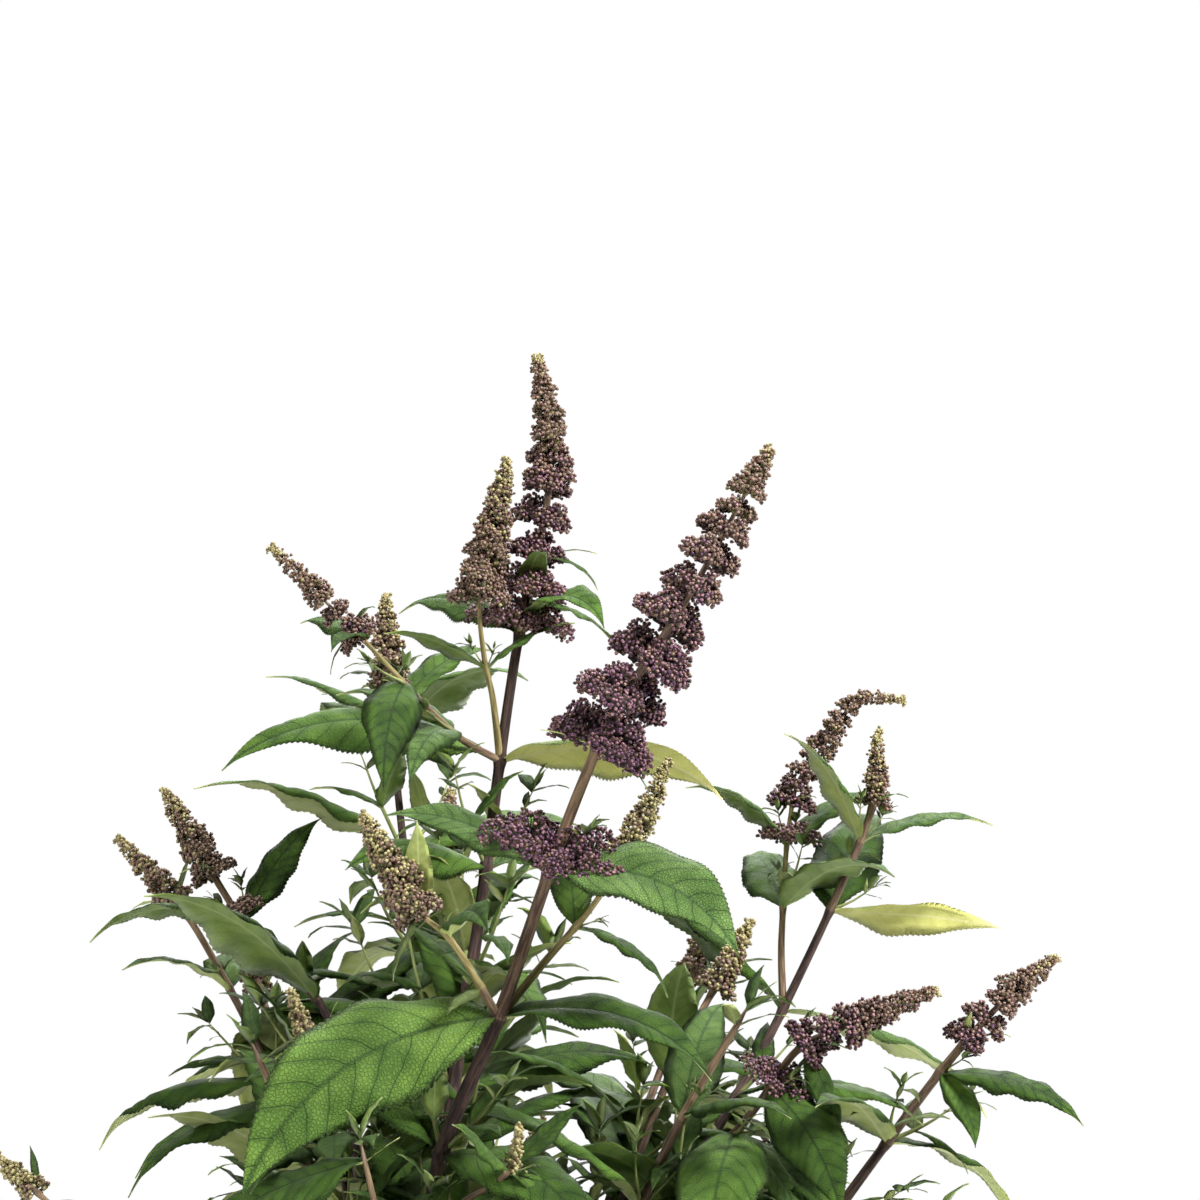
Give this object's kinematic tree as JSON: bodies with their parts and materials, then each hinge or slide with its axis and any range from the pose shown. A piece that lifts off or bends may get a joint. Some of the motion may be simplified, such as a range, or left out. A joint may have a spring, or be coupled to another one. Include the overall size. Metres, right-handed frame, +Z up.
{
  "type": "butterfly bush",
  "caption": "Young many-stemmed butterfly bush with opposite lance-shaped leaves and upright panicles of closed dark flower buds, rooted in the ground.",
  "frame": {"origin": "centre of the flat cut under the woody foot, at ground level", "axes": "+Z up, -Y towards the side that the picture shows, +X to its right"},
  "size_m": [0.5556, 0.5024, 0.6951],
  "materials": {
    "trunk": "rough fissured bark",
    "cane_bark": "matt, brown-purple, finely speckled",
    "foliage": "matt leaf with a felted underside"
  },
  "bodies": {
    "root": {"cane_back_left": "cane_bark", "cane_front": "cane_bark", "cane_left": "cane_bark", "cane_left_low": "cane_bark", "cane_mid_left": "cane_bark", "cane_mid_rear": "cane_bark", "cane_mid_right": "cane_bark", "cane_rear": "cane_bark", "cane_rear_left": "cane_bark", "cane_rear_right": "cane_bark", "cane_right": "cane_bark", "cane_right_back": "cane_bark", "cane_right_low": "cane_bark", "cane_tall": "cane_bark", "foliage_back_left": "foliage", "foliage_bottom_left": "foliage", "foliage_bottom_mid": "foliage", "foliage_front": "foliage", "foliage_left": "foliage", "foliage_left_front": "foliage", "foliage_left_low": "foliage", "foliage_low_front": "foliage", "foliage_low_front_right": "foliage", "foliage_low_left": "foliage", "foliage_low_left_front": "foliage", "foliage_low_rear": "foliage", "foliage_low_rear_left": "foliage", "foliage_low_rear_right": "foliage", "foliage_low_right": "foliage", "foliage_low_right_front": "foliage", "foliage_mid_left": "foliage", "foliage_mid_rear": "foliage", "foliage_mid_right": "foliage", "foliage_rear": "foliage", "foliage_rear_left": "foliage", "foliage_rear_right": "foliage", "foliage_right": "foliage", "foliage_right_back": "foliage", "foliage_right_low": "foliage", "foliage_tall": "foliage", "trunk": "trunk"}
  },
  "joints": []
}
